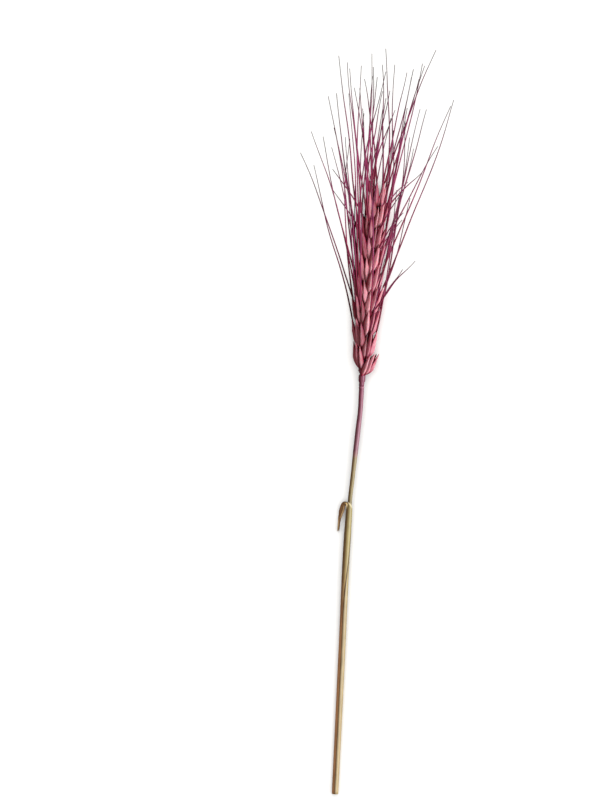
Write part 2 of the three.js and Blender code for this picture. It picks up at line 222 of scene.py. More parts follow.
# Dried wheat chaff, dip-dyed: papery and matt, with paler ribs and uneven dye; the deep red on each husk's
# root, edges and inner side is painted shade, and its paler exposed back is partly painted light
def makeChaff(look):
    material, tree, shader = newMaterial("dyedWheatChaff")
    raised = addNode(tree, "ShaderNodeAttribute", attribute_name="raised").outputs["Fac"]
    ridge = addNode(tree, "ShaderNodeAttribute", attribute_name="ridge").outputs["Fac"]
    tint = addNode(tree, "ShaderNodeAttribute", attribute_name="tint").outputs["Fac"]
    grain = addNode(tree, "ShaderNodeAttribute", attribute_name="grain").outputs["Vector"]
    place = addNode(tree, "ShaderNodeTexCoord").outputs["Object"]
    stretched = addNode(tree, "ShaderNodeMapping", {
        "Vector": grain, "Scale": (1 / look["fibreSize"], 1 / look["fibreLength"], 1)})
    fibres = addNode(tree, "ShaderNodeTexNoise", {
        "Vector": stretched.outputs["Vector"], "W": tint, "Scale": 1, "Detail": 3, "Roughness": 0.6},
        noise_dimensions="4D").outputs["Fac"]
    patches = addNode(tree, "ShaderNodeTexNoise", {
        "Vector": place, "Scale": 1 / (look["patchSize"] * mm), "Detail": 2}).outputs["Fac"]
    # Painted light and shade: on top of random tone and dye patches, the paler colours go on the exposed
    # middle of each husk's back and the deep red of painted shade on its root, edges and inner side.
    patchesAndPaintedLight = addNode(tree, "ShaderNodeMath", {
        0: patches, 1: look["patchShare"], 2: raised}, operation="MULTIPLY_ADD")
    toneAndPaintedLight = addNode(tree, "ShaderNodeMath", {
        0: tint, 1: look["huskVariety"], 2: patchesAndPaintedLight.outputs["Value"]}, operation="MULTIPLY_ADD")
    dustAndPaintedLight = addNode(tree, "ShaderNodeMath", {
        0: toneAndPaintedLight.outputs["Value"], 1: look["paleFrom"] + look["huskVariety"] / 2},
        operation="SUBTRACT", use_clamp=True)
    toneWithPaintedShade = addNode(tree, "ShaderNodeValToRGB", {"Fac": dustAndPaintedLight.outputs["Value"]}, stops=[
        (0.05, look["deep"]), (0.5, look["body"]), (1, look["dustyAndPaintedLight"])])
    bloomShare = addNode(tree, "ShaderNodeMapRange", {
        "Value": patches, "From Min": look["bloomFrom"][0], "From Max": look["bloomFrom"][1],
        "To Max": look["bloomMost"]})
    bloomed = addNode(tree, "ShaderNodeMix", {
        0: bloomShare.outputs["Result"], 6: toneWithPaintedShade.outputs["Color"], 7: linear(look["bloom"])},
        data_type="RGBA")
    ridgeShare = addNode(tree, "ShaderNodeMath", {
        0: ridge, 1: fibres}, operation="MULTIPLY", use_clamp=True)
    # The pale rib colour is kept to the exposed backs, so it is partly painted highlight.
    ribAndPaintedHighlight = addNode(tree, "ShaderNodeMath", {
        0: ridgeShare.outputs["Value"], 1: raised}, operation="MULTIPLY")
    ribbed = addNode(tree, "ShaderNodeMix", {
        0: ribAndPaintedHighlight.outputs["Value"], 6: bloomed.outputs[2], 7: linear(look["rib"])}, data_type="RGBA")
    shade = addNode(tree, "ShaderNodeMath", {0: fibres, 1: tint}, operation="ADD")
    value = addNode(tree, "ShaderNodeMapRange", {
        "Value": shade.outputs["Value"], "From Min": 0.3, "From Max": 1.5,
        "To Min": look["shade"][0], "To Max": look["shade"][1]})
    toned = addNode(tree, "ShaderNodeHueSaturation", {
        "Value": value.outputs["Result"], "Color": ribbed.outputs[2]})
    rough = addNode(tree, "ShaderNodeMapRange", {
        "Value": fibres, "To Min": look["roughness"][0], "To Max": look["roughness"][1]})
    bump = addNode(tree, "ShaderNodeBump", {
        "Strength": 0.7, "Distance": look["fibreHeight"] * mm, "Height": fibres})
    tree.links.new(toned.outputs["Color"], shader.inputs["Base Color"])
    tree.links.new(rough.outputs["Result"], shader.inputs["Roughness"])
    tree.links.new(bump.outputs["Normal"], shader.inputs["Normal"])
    shader.inputs["Specular IOR Level"].default_value = look["sheen"]
    shader.inputs["Subsurface Weight"].default_value = look["glow"]
    shader.inputs["Subsurface Radius"].default_value = look["glowTint"]
    shader.inputs["Subsurface Scale"].default_value = look["glowReach"] * mm
    return material


awnLook = {
    "stops": [(0, "#5e1022"), (0.3, "#6e1e3a"), (0.55, "#7a2a50"), (0.75, "#6e2e4c"), (0.9, "#4c303a"),
              (1, "#302829")],
    "mottleSize": 4,  # mm
    "mottleShift": 0.35, "mottleMiddle": 0.17,  # how unevenly the dye fades along an awn
    "shade": (0.75, 1.25), "roughness": 0.55, "sheen": 0.15,
}


def makeAwnBristle(look):  # dyed bristle: the dye thins out to the grey-brown of the dry tips
    material, tree, shader = newMaterial("dyedAwnBristle")
    along = addNode(tree, "ShaderNodeAttribute", attribute_name="along").outputs["Fac"]
    tint = addNode(tree, "ShaderNodeAttribute", attribute_name="tint").outputs["Fac"]
    place = addNode(tree, "ShaderNodeTexCoord").outputs["Object"]
    mottle = addNode(tree, "ShaderNodeTexNoise", {
        "Vector": place, "Scale": 1 / (look["mottleSize"] * mm), "Detail": 2})
    shifted = addNode(tree, "ShaderNodeMath", {
        0: mottle.outputs["Fac"], 1: look["mottleShift"], 2: along}, operation="MULTIPLY_ADD")
    faded = addNode(tree, "ShaderNodeMath", {
        0: shifted.outputs["Value"], 1: look["mottleMiddle"]}, operation="SUBTRACT", use_clamp=True)
    colour = addNode(tree, "ShaderNodeValToRGB", {"Fac": faded.outputs["Value"]}, stops=look["stops"])
    value = addNode(tree, "ShaderNodeMapRange", {
        "Value": tint, "To Min": look["shade"][0], "To Max": look["shade"][1]})
    toned = addNode(tree, "ShaderNodeHueSaturation", {
        "Value": value.outputs["Result"], "Color": colour.outputs["Color"]})
    tree.links.new(toned.outputs["Color"], shader.inputs["Base Color"])
    shader.inputs["Roughness"].default_value = look["roughness"]
    shader.inputs["Specular IOR Level"].default_value = look["sheen"]
    return material


strawLook = {
    "stops": [  # along the straw from the ear: dyed neck, the edge of the dye, green straw, golden straw
        (0, "#702c46"), (0.03, "#7a4456"), (0.155, "#7e5662"), (0.172, "#866660"), (0.18, "#7e704e"),
        (0.3, "#766a44"), (0.6, "#8e774f")],
    "rim": "#c795a4", "contrast": (0.62, 1.22),
    "streakSize": 0.2,  # mm between the straw's fine ribs
    "streakLength": 9,  # mm
}
leafLook = {
    "stops": [  # along the sheath from its collar down
        (0, "#807549"), (0.12, "#877a4e"), (0.4, "#917e56"), (0.75, "#9b8458"), (1, "#988056")],
    # The edge colour is a dark line of painted shade along the sheath's overlapping open edge.
    "edge": "#4a3820", "rim": "#d8cba6", "contrast": (0.72, 1.18),
    "stain": "#f0cb8c", "bleach": "#8c8064",  # warmer and much lighter to the left of its open edge, which is partly painted light on the sheath's shaded side, and greyer to the right
    "streakSize": 0.3,  # mm between veins
    "streakLength": 16,  # mm
}
bladeLook = {
    "stops": [(0, "#a28c5c"), (0.35, "#b09868"), (0.7, "#b2986a"), (1, "#94784e")],
    "edge": "#62482a", "contrast": (0.6, 1.2),
    "streakSize": 0.25,  # mm between veins
    "streakLength": 8,  # mm
}


def makeStraw(look, name):  # ripe wheat straw or leaf: waxy, satin, finely ribbed along its length
    material, tree, shader = newMaterial(name)
    along = addNode(tree, "ShaderNodeAttribute", attribute_name="along").outputs["Fac"]
    grain = addNode(tree, "ShaderNodeAttribute", attribute_name="grain").outputs["Vector"]
    place = addNode(tree, "ShaderNodeTexCoord").outputs["Object"]
    across, lengthwise = 1 / look["streakSize"], 1 / look["streakLength"]
    stretched = addNode(tree, "ShaderNodeMapping", {"Vector": grain, "Scale": (across, across, lengthwise)})
    streaks = addNode(tree, "ShaderNodeTexNoise", {
        "Vector": stretched.outputs["Vector"], "Scale": 1, "Detail": 3, "Roughness": 0.6}).outputs["Fac"]
    mottle = addNode(tree, "ShaderNodeTexNoise", {
        "Vector": place, "Scale": 1 / (5 * mm), "Detail": 3}).outputs["Fac"]
    shifted = addNode(tree, "ShaderNodeMath", {0: mottle, 1: 0.02, 2: along}, operation="MULTIPLY_ADD")
    faded = addNode(tree, "ShaderNodeMath", {
        0: shifted.outputs["Value"], 1: 0.01}, operation="SUBTRACT", use_clamp=True)
    colour = addNode(tree, "ShaderNodeValToRGB", {"Fac": faded.outputs["Value"]}, stops=look["stops"])
    blend = addNode(tree, "ShaderNodeMath", {0: streaks, 1: 2, 2: mottle}, operation="MULTIPLY_ADD")
    value = addNode(tree, "ShaderNodeMapRange", {
        "Value": blend.outputs["Value"], "From Min": 1.05, "From Max": 1.95,
        "To Min": look["contrast"][0], "To Max": look["contrast"][1]})
    surface = colour.outputs["Color"]
    for layer in ("stain", "bleach", "streaks", "edge", "rim"):  # from the lowest up
        if layer == "streaks":
            surface = addNode(tree, "ShaderNodeHueSaturation", {
                "Value": value.outputs["Result"], "Color": surface}).outputs["Color"]
        elif layer in look:
            share = addNode(tree, "ShaderNodeAttribute", attribute_name=layer).outputs["Fac"]
            surface = addNode(tree, "ShaderNodeMix", {
                0: share, 6: surface, 7: linear(look[layer])}, data_type="RGBA").outputs[2]
    bump = addNode(tree, "ShaderNodeBump", {"Strength": 0.5, "Distance": 0.12 * mm, "Height": streaks})
    tree.links.new(surface, shader.inputs["Base Color"])
    tree.links.new(bump.outputs["Normal"], shader.inputs["Normal"])
    shader.inputs["Roughness"].default_value = 0.48
    shader.inputs["Specular IOR Level"].default_value = 0.3
    return material


chaff = makeChaff(chaffLook)
awnBristle = makeAwnBristle(awnLook)
straw = makeStraw(strawLook, "wheatStraw")
sheathSkin = makeStraw(leafLook, "driedLeafSheath")
bladeSkin = makeStraw(bladeLook, "driedLeafBlade")
print("materials made")


# Ear: where each husk and awn goes, by the same rule as in the solids

earRule = {
    "spikelets": 17, "firstJoint": 5, "firstSpacing": 2.4, "spacing": 5.05, "top": 97,
    "firstLean": 0.4, "firstSize": 0.78,  # the lowest spikelet is small and stands out
    "slope": 0.055, "curve": 0.0003, "roll": -0.15, "twist": 0.05, "zigzag": 0.6,
    "lean": (0.13, 0.19, 0.14), "size": (0.92, 1.0, 0.88), "flare": (0.5, 1.0, 0.7),
    "gradingLow": 0.25, "gradingHigh": 0.6,
    "floretFan": 0.15, "floretOut": 0.05, "floretSpread": 0.7, "floretShift": 0.3, "floretSink": (0.2, 0.6),
    "glumeFan": 0.17, "glumeOut": -0.06, "glumeSpread": 1.1, "glumeShift": -0.5, "glumeSink": (0.7, 1.1),
    "middleRise": 1.4, "middleOut": 0.8, "middleTilt": 0.1, "middleSize": 0.92, "stray": 0.07,
    "innerSpread": 0.3, "innerRise": 0.5,
    "glumeTurn": 0.4, "floretTurn": (1.2, 0.9),  # which way the backs face, between sideways and outwards
    "leanVariety": 0.2, "sizeVariety": 0.06, "girthVariety": 0.1,
}
lemma = {  # a floret's husk, mm
    "length": 16, "width": 3.4, "thickness": 2.8, "bow": 0.4, "belly": 0.66, "widest": 0.36, "taper": 1.35,
    "tip": 0.14, "keel": 1.7, "ribs": (-0.74, -0.4, 0, 0.4, 0.74), "ribHeight": 0.17, "ribWidth": 0.065,
}
glume = {  # a spikelet's outer husk, mm
    "length": 14, "width": 3.5, "thickness": 2.2, "bow": 0.4, "belly": 0.7, "widest": 0.38, "taper": 1.5,
    "tip": 0.08, "keel": 1.25, "ribs": (-0.7, -0.34, 0, 0.36, 0.68), "ribHeight": 0.17, "ribWidth": 0.065,
}


def grade(values, share):
    lower = between(values[:2], smoothStep(share, 0, earRule["gradingLow"]))
    return between((lower, values[2]), smoothStep(share, earRule["gradingHigh"], 1))


def earPoint(along):
    return earFoot + Vector((earRule["slope"] * along + earRule["curve"] * along * along, along, 0)) * mm


def earAxes(along):  # the ear's axis, the way of its two rows, and its broad face
    axis = Vector((earRule["slope"] + 2 * earRule["curve"] * along, 1, 0)).normalized()
    face = Matrix.Rotation(earRule["roll"] + earRule["twist"] * along / earRule["top"], 3, axis) @ up
    return axis, axis.cross(face), face


def huskPlace(root, pointing, facing, size):
    pointing = pointing.normalized()
    return {"root": root, "pointing": pointing, "size": size,
            "facing": (facing - pointing * facing.dot(pointing)).normalized()}


def jointAt(index):  # how far along the ear a spikelet's joint is: the lowest two are close together
    rule = earRule
    return rule["firstJoint"] + (rule["firstSpacing"] + (index - 1) * rule["spacing"] if index else 0)


def jointNumber(along):  # the number of the joint there, with a fraction between two joints
    past = along - earRule["firstJoint"]
    first = earRule["firstSpacing"]
    return past / first if past < first else 1 + (past - first) / earRule["spacing"]


def spikelet(index):
    rule = earRule
    along = jointAt(index)
    share = index / (rule["spikelets"] - 1)
    axis, right, face = earAxes(along)
    topmost = index == rule["spikelets"] - 1
    lean = 0 if topmost else vary(grade(rule["lean"], share), rule["leanVariety"], index, 1)
    size = vary(grade(rule["size"], share), rule["sizeVariety"], index, 2)
    if index == 0:
        lean, size = rule["firstLean"], rule["firstSize"]
    flare = grade(rule["flare"], share)
    out, fan = (face, right) if topmost else (right * (1 if index % 2 == 0 else -1), face)
    pointing = axis * math.cos(lean) + out * math.sin(lean)
    outward = out * math.cos(lean) - axis * math.sin(lean)
    root = earPoint(along) + out * (0 if topmost else rule["zigzag"] * mm)
    glumes, florets = [], []
    for way in (1, -1):
        sink = between(rule["glumeSink"], draw(index, 8 + way))
        seat = root + (
            fan * way * rule["glumeSpread"] + outward * rule["glumeShift"] - pointing * sink) * mm
        swing = math.tan(rule["glumeFan"]) * way + flare * rule["stray"] * (2 * draw(index, 31 + way) - 1)
        reach = pointing + fan * swing + outward * flare * rule["glumeOut"]
        glumes.append(huskPlace(seat, reach, fan * way + outward * rule["glumeTurn"], size))
    for way in (1, -1, 0):
        sink = between(rule["floretSink"], draw(index, 11 + way))
        seat = root + (
            fan * way * rule["floretSpread"] + outward * rule["floretShift"] - pointing * sink) * mm
        swing = math.tan(rule["floretFan"]) * way + flare * rule["stray"] * (2 * draw(index, 41 + way) - 1)
        reach = pointing + fan * swing + outward * flare * rule["floretOut"]
        facing = fan * way * rule["floretTurn"][0] + outward * rule["floretTurn"][1]
        if way == 0:
            seat = seat + (pointing * rule["middleRise"] + outward * rule["middleOut"]) * mm
            reach = reach + outward * flare * rule["middleTilt"]
        florets.append(huskPlace(seat, reach, facing, size * (1 if way else rule["middleSize"])))
    innerFlorets = []  # only their awns show
    for way in (1, -1):
        seat = root + (fan * way * rule["innerSpread"] + pointing * rule["innerRise"]) * mm
        reach = pointing + fan * way * math.tan(rule["floretFan"])
        innerFlorets.append(huskPlace(seat, reach, fan * way, size))
    return {"index": index, "share": share, "axis": axis, "glumes": glumes, "florets": florets,
            "innerFlorets": innerFlorets}


def girth(t, form):  # how broad a husk is along its length: blunt at its root and drawn out to a point
    if t < form["widest"]:
        return math.sin(math.pi / 2 * t / form["widest"]) ** 0.7
    return 1 - (1 - form["tip"]) * ((t - form["widest"]) / (1 - form["widest"])) ** form["taper"]


huskMesh = {"rows": 24, "columns": 19, "start": 0.012}  # starts just past its root, with a small flat end


def makeHusk(name, form):
    rows, columns = huskMesh["rows"], huskMesh["columns"]
    points, raised, ridge, grain = [], [], [], []
    for row in range(rows):
        t = between((huskMesh["start"], 1), row / (rows - 1))
        half = form["width"] / 2 * girth(t, form)
        deep = form["thickness"] * girth(t, form)
        lift = form["bow"] * math.sin(math.pi * t)
        for step in range(2 * columns - 2):  # over the back from edge to edge, then home on the inner side
            back = step < columns
            turn = step / (columns - 1) if back else 2 - step / (columns - 1)
            across = math.sin((turn - 0.5) * math.pi)
            high = sum(math.exp(-((across - rib) / form["ribWidth"]) ** 2) for rib in form["ribs"])
            high *= back * smoothStep(t, 0, 0.2)
            z = -deep * (1 - form["belly"]) * (1 - across * across)
            if back:
                z = deep * form["belly"] * (1 - abs(across) ** form["keel"])
                z += form["ribHeight"] * high * (0.3 + 0.7 * girth(t, form))
            points.append(Vector((half * across, t * form["length"], z + lift)) * mm)
            # Painted light and shade mask: highest on the exposed middle of the back, low at the husk's
            # edges and root, and nothing on its inner side.
            raised.append(back * (0.3 + 0.7 * (1 - across * across) ** 0.7) * smoothStep(t, 0.02, 0.3))
            ridge.append(high)
            grain.append((half * across, t * form["length"], 0 if back else 9))
    ring = 2 * columns - 2
    faces = [tuple(reversed(face)) for face in gridFaces(rows, ring, True)]
    faces += [tuple(range(ring)), tuple(reversed(range((rows - 1) * ring, rows * ring)))]
    return newMesh(name, points, faces, {"raised": raised, "ridge": ridge, "grain": grain})


crookForm = {"size": 5, "reach": 0.9}  # mm, how the ear dried a little crooked


def crookTree(form):  # moves each point a little, husks and awns alike, and keeps it above the floor
    tree = bpy.data.node_groups.new("dryCrooked", "GeometryNodeTree")
    tree.interface.new_socket("Stiff", in_out="INPUT", socket_type="NodeSocketGeometry")
    tree.interface.new_socket("Crooked", in_out="OUTPUT", socket_type="NodeSocketGeometry")
    given = addNode(tree, "NodeGroupInput").outputs
    place = addNode(tree, "GeometryNodeInputPosition").outputs["Position"]
    waves = addNode(tree, "ShaderNodeTexNoise", {
        "Vector": place, "Scale": 1 / (form["size"] * mm), "Detail": 1})
    centred = addNode(tree, "ShaderNodeVectorMath", {
        0: waves.outputs["Color"], 1: (0.5, 0.5, 0.5)}, operation="SUBTRACT")
    stiff = addNode(tree, "GeometryNodeInputNamedAttribute", {"Name": "stiff"}, data_type="FLOAT")
    reach = addNode(tree, "ShaderNodeMapRange", {
        "Value": stiff.outputs["Attribute"], "To Min": form["reach"] * mm, "To Max": 0})
    shift = addNode(tree, "ShaderNodeVectorMath", {
        0: centred.outputs["Vector"], "Scale": reach.outputs["Result"]}, operation="SCALE")
    moved = addNode(tree, "ShaderNodeVectorMath", {0: place, 1: shift.outputs["Vector"]}, operation="ADD")
    above = addNode(tree, "ShaderNodeVectorMath", {
        0: moved.outputs["Vector"], 1: (-1, -1, 0)}, operation="MAXIMUM")
    settled = addNode(tree, "GeometryNodeSetPosition", {
        "Geometry": given["Stiff"], "Position": above.outputs["Vector"]})
    addNode(tree, "NodeGroupOutput", {"Crooked": settled.outputs["Geometry"]})
    return tree


crook = crookTree(crookForm)


def huskTree():
    tree = bpy.data.node_groups.new("placeHusks", "GeometryNodeTree")
    for name, kind in (("Places", "Geometry"), ("Lemma", "Object"), ("Glume", "Object"),
                       ("Finish", "Material")):
        tree.interface.new_socket(name, in_out="INPUT", socket_type="NodeSocket" + kind)
    tree.interface.new_socket("Husks", in_out="OUTPUT", socket_type="NodeSocketGeometry")
    given = addNode(tree, "NodeGroupInput").outputs
    pointing = addNode(tree, "GeometryNodeInputNamedAttribute", {
        "Name": "pointing"}, data_type="FLOAT_VECTOR")
    facing = addNode(tree, "GeometryNodeInputNamedAttribute", {
        "Name": "facing"}, data_type="FLOAT_VECTOR")
    size = addNode(tree, "GeometryNodeInputNamedAttribute", {
        "Name": "size"}, data_type="FLOAT_VECTOR")
    outer = addNode(tree, "GeometryNodeInputNamedAttribute", {"Name": "outer"}, data_type="FLOAT")
    isGlume = addNode(tree, "FunctionNodeCompare", {
        0: outer.outputs["Attribute"], 1: 0.5}, operation="GREATER_THAN")
    turn = addNode(tree, "FunctionNodeAxesToRotation", {
        "Primary Axis": pointing.outputs["Attribute"], "Secondary Axis": facing.outputs["Attribute"]},
        primary_axis="Y", secondary_axis="Z")
    split = addNode(tree, "GeometryNodeSeparateGeometry", {
        "Geometry": given["Places"], "Selection": isGlume.outputs["Result"]}, domain="POINT")
    joined = addNode(tree, "GeometryNodeJoinGeometry")
    for source, places in (("Glume", "Selection"), ("Lemma", "Inverted")):
        shape = addNode(tree, "GeometryNodeObjectInfo", {"Object": given[source]})
        placed = addNode(tree, "GeometryNodeInstanceOnPoints", {
            "Points": split.outputs[places], "Instance": shape.outputs["Geometry"],
            "Rotation": turn.outputs["Rotation"], "Scale": size.outputs["Attribute"]})
        tree.links.new(placed.outputs["Instances"], joined.inputs["Geometry"])
    real = addNode(tree, "GeometryNodeRealizeInstances", {"Geometry": joined.outputs["Geometry"]})
    settled = addNode(tree, "GeometryNodeGroup", {"Stiff": real.outputs["Geometry"]}, node_tree=crook)
    done = addNode(tree, "GeometryNodeSetMaterial", {
        "Geometry": settled.outputs["Crooked"], "Material": given["Finish"]})
    addNode(tree, "NodeGroupOutput", {"Husks": done.outputs["Geometry"]})
    return tree


def bristleTree():
    tree = bpy.data.node_groups.new("growBristles", "GeometryNodeTree")
    for name, kind in (("Lines", "Geometry"), ("Sides", "Int"), ("Finish", "Material")):
        tree.interface.new_socket(name, in_out="INPUT", socket_type="NodeSocket" + kind)
    tree.interface.new_socket("Bristles", in_out="OUTPUT", socket_type="NodeSocketGeometry")
    given = addNode(tree, "NodeGroupInput").outputs
    thick = addNode(tree, "GeometryNodeInputNamedAttribute", {"Name": "radius"}, data_type="FLOAT")
    curves = addNode(tree, "GeometryNodeMeshToCurve", {"Mesh": given["Lines"]})
    ring = addNode(tree, "GeometryNodeCurvePrimitiveCircle", {"Resolution": given["Sides"], "Radius": 1})
    tubes = addNode(tree, "GeometryNodeCurveToMesh", {
        "Curve": curves.outputs["Curve"], "Profile Curve": ring.outputs["Curve"],
        "Scale": thick.outputs["Attribute"], "Fill Caps": True})
    real = addNode(tree, "GeometryNodeRealizeInstances", {"Geometry": tubes.outputs["Mesh"]})
    settled = addNode(tree, "GeometryNodeGroup", {"Stiff": real.outputs["Geometry"]}, node_tree=crook)
    done = addNode(tree, "GeometryNodeSetMaterial", {
        "Geometry": settled.outputs["Crooked"], "Material": given["Finish"]})
    addNode(tree, "NodeGroupOutput", {"Bristles": done.outputs["Geometry"]})
    return tree


spikelets = [spikelet(index) for index in range(earRule["spikelets"])]


def makeHusks():
    variety = earRule["girthVariety"]
    places = []
    for home in spikelets:
        places += [(place, 1) for place in home["glumes"]] + [(place, 0) for place in home["florets"]]
    marks = {
        "pointing": [place["pointing"] for place, outer in places],
        "facing": [place["facing"] for place, outer in places],
        "size": [place["size"] * Vector((vary(1, variety, count, 23), 1, vary(1, variety, count, 24)))
                 for count, (place, outer) in enumerate(places)],
        "outer": [outer for place, outer in places],
        "tint": [draw(count, 21) for count in range(len(places))],
    }
    roots = [place["root"] for place, outer in places]
    piece = newObject("earHusks", newMesh("earHusks", roots, [], marks))
    sources = [newObject("lemmaShape", makeHusk("lemmaShape", lemma)),
               newObject("glumeShape", makeHusk("glumeShape", glume))]
    useTree(piece, huskTree(), {"Lemma": sources[0], "Glume": sources[1], "Finish": chaff})
    for source in sources:
        bpy.data.objects.remove(source)
    finishPiece(piece, "ear")
    print("husks made:", len(places))


awnRule = {
    "perSpikelet": 5, "bare": 2,  # the lowest spikelets carry no awns
    "rootShare": 0.84, "innerRootShare": 0.5, "length": (60, 98, 72), "lengthShare": (0.45, 1),
    "least": (0, -0.16, -0.5), "most": 0.42, "curl": 0.34,  # how far an awn swings from the ear's axis
    "clump": 3, "clumpPull": 0.5,  # in damp dye, neighbours on one side stuck together
    "strayShare": 0.1, "straySpread": 0.7, "strayLength": 0.35,  # some stick out, dry and broken short
    "bend": (0.16, 0.22), "tip": (0.08, 0.92), "tipCurl": 0.3,  # shares of the floret's way and of the swing
    "lowest": (0.45, 1.05),  # mm above the floor
    "waver": 0.029, "waves": 2.4, "stiffFrom": 0.15,  # shares of its length, and bends along it
    "radii": [(0, 0.12), (0.05, 0.42), (0.3, 0.34), (0.65, 0.26), (1, 0.15)],  # rooted in the husk's tip
    "steps": 24, "sides": 6,
}


# A quadratic curve from the floret's tip, as in the solids, with a slight waver
def awnLine(place, home, channel):
    rule = awnRule
    key = home["index"] * rule["perSpikelet"] + channel
    pointing, axis = place["pointing"], home["axis"]
    rootShare = rule["rootShare"] if channel < len(home["florets"]) else rule["innerRootShare"]
    start = place["root"] + pointing * lemma["length"] * place["size"] * rootShare * mm
    start = start + place["facing"] * lemma["bow"] * place["size"] * math.sin(math.pi * rootShare) * mm
    whole = between(rule["lengthShare"], math.sqrt(draw(key, 4)))
    length = grade(rule["length"], home["share"]) * whole * mm
    outward = (pointing - axis * pointing.dot(axis)).normalized()
    sideways = axis.cross(outward)
    clump = (home["index"] // (2 * rule["clump"]) * 2 + home["index"] % 2) * rule["perSpikelet"] + channel
    spreadDraw, swingDraw = (
        between((draw(key, line), draw(clump, line)), rule["clumpPull"]) for line in (5, 6))
    spread = between((grade(rule["least"], home["share"]), rule["most"]), spreadDraw)
    if draw(key, 9) < rule["strayShare"]:
        spread, length = rule["straySpread"], length * rule["strayLength"]
    heading = axis * math.cos(spread) + outward * math.sin(spread)
    heading = (heading + sideways * (swingDraw - 0.5) * 2 * rule["curl"]).normalized()
    bend = start + (pointing * rule["bend"][0] + heading * rule["bend"][1]) * length
    tipCurl = outward * rule["tipCurl"] * rule["curl"] * (2 * draw(key, 7) - 1)
    tip = start + (pointing * rule["tip"][0] + heading * rule["tip"][1] + tipCurl) * length
    lowest = between(rule["lowest"], draw(key, 8)) * mm
    bend.z, tip.z = max(bend.z, lowest), max(tip.z, lowest)
    line = []
    for step in range(rule["steps"] + 1):
        t = step / rule["steps"]
        point = start * (1 - t) ** 2 + bend * 2 * t * (1 - t) + tip * t * t
        sway = Vector([noise.noise(Vector((key * 3.7, t * rule["waves"], way * 5.3))) for way in range(3)])
        point = point + sway * rule["waver"] * t * length
        point.z = max(point.z, rule["lowest"][0] * mm)
        line.append(point)
    return line


def makeAwns():
    points, edges, along, radius, stiff, tint = [], [], [], [], [], []
    for home in spikelets[awnRule["bare"]:]:
        for channel, place in enumerate(home["florets"] + home["innerFlorets"]):
            line = awnLine(place, home, channel)
            shade = draw(home["index"] * awnRule["perSpikelet"] + channel, 22)
            for step, point in enumerate(line):
                t = step / awnRule["steps"]
                if step:
                    edges.append((len(points) - 1, len(points)))
                points.append(point)
                along.append(t)
                radius.append(radiusAt(awnRule["radii"], t) * mm)
                stiff.append(smoothStep(t, 0, awnRule["stiffFrom"]))
                tint.append(shade)
    marks = {"along": along, "radius": radius, "stiff": stiff, "tint": tint}
    piece = newObject("earAwns", newMesh("earAwns", points, [], marks, edges))
    useTree(piece, bristleTree(), {"Sides": awnRule["sides"], "Finish": awnBristle})
    finishPiece(piece, "ear")
    print("awns made:", len(points) // (awnRule["steps"] + 1))


rachisForm = {
    "radii": [(0, 1.15), (0.6, 1.28), (1.3, 1.15), (2.4, 1.6), (4.2, 1.65), (6.5, 1.35), (70, 1.2),
              (92, 0.8)],
    "sides": 14, "step": 0.8, "sunk": 0.3,  # its end is a little way into the straw
    "along": 0.02,  # it runs on from the straw and took the dye as the straw's top did
}


def makeRachis():
    rule, form = earRule, rachisForm
    end = jointAt(rule["spikelets"] - 1)
    rows = int(end / form["step"])
    points, grain = [], []
    for row in range(rows + 1):
        s = end * row / rows if row else -form["sunk"]
        axis, right, face = earAxes(s)
        joint = jointNumber(s)
        sway = 0 if joint < 0 else rule["zigzag"] * math.cos(math.pi * joint)
        for side in range(form["sides"]):
            turn = 2 * math.pi * side / form["sides"]
            spoke = right * math.cos(turn) + face * math.sin(turn)
            points.append(earPoint(s) + (right * sway + spoke * radiusAt(form["radii"], max(s, 0))) * mm)
            grain.append((math.cos(turn), math.sin(turn), s))
    sides = form["sides"]
    faces = [tuple(reversed(face)) for face in gridFaces(rows + 1, sides, True)]
    faces += [tuple(range(sides)), tuple(reversed(range(rows * sides, (rows + 1) * sides)))]
    mesh = newMesh("earRachis", points, faces, {"along": [form["along"]] * len(points), "grain": grain})
    finishPiece(newObject("earRachis", mesh, straw), "ear")
    print("rachis made")


makeHusks()
makeAwns()
makeRachis()


# Straw

strawForm = {
    "line": [(0, 0, 0), (-0.6, -11.4, -0.1), (-1.7, -20.9, -0.2), (-4.4, -44.7, -0.55), (-5.6, -55.6, -0.7),
             (-7.4, -82.7, -1.0), (-9.1, -120.7, -1.4), (-10.9, -158.7, -1.9), (-12.6, -194, -2.3)],
    "radii": [(0, 1.08), (0.7, 1.32), (1.6, 1.12), (4, 1.2), (9, 1.12), (24, 1.22), (44, 1.02),
              (56, 0.98), (220, 0.98)],
    "ringAt": 0.7, "ringWidth": 0.5, "ringPale": 0.3,  # a small ring under the ear
    "ringStep": 0.35, "ringRows": 6,
    "ribs": 9, "ribHeight": 0.012, "bore": 0.6, "boreDepth": 60, "sides": 24, "step": 1.5,
}
strawLine = smoothLine([earFoot + Vector(point) * mm for point in strawForm["line"]])
strawLengths = measureLine(strawLine)
strawLength = strawLengths[-1] / mm


def strawRing(below):  # the place, and two directions square to the straw
    place, heading = lineAt(strawLine, strawLengths, below * mm)
    across = heading.cross(up).normalized()
    return place, across * -1, heading.cross(across) * -1


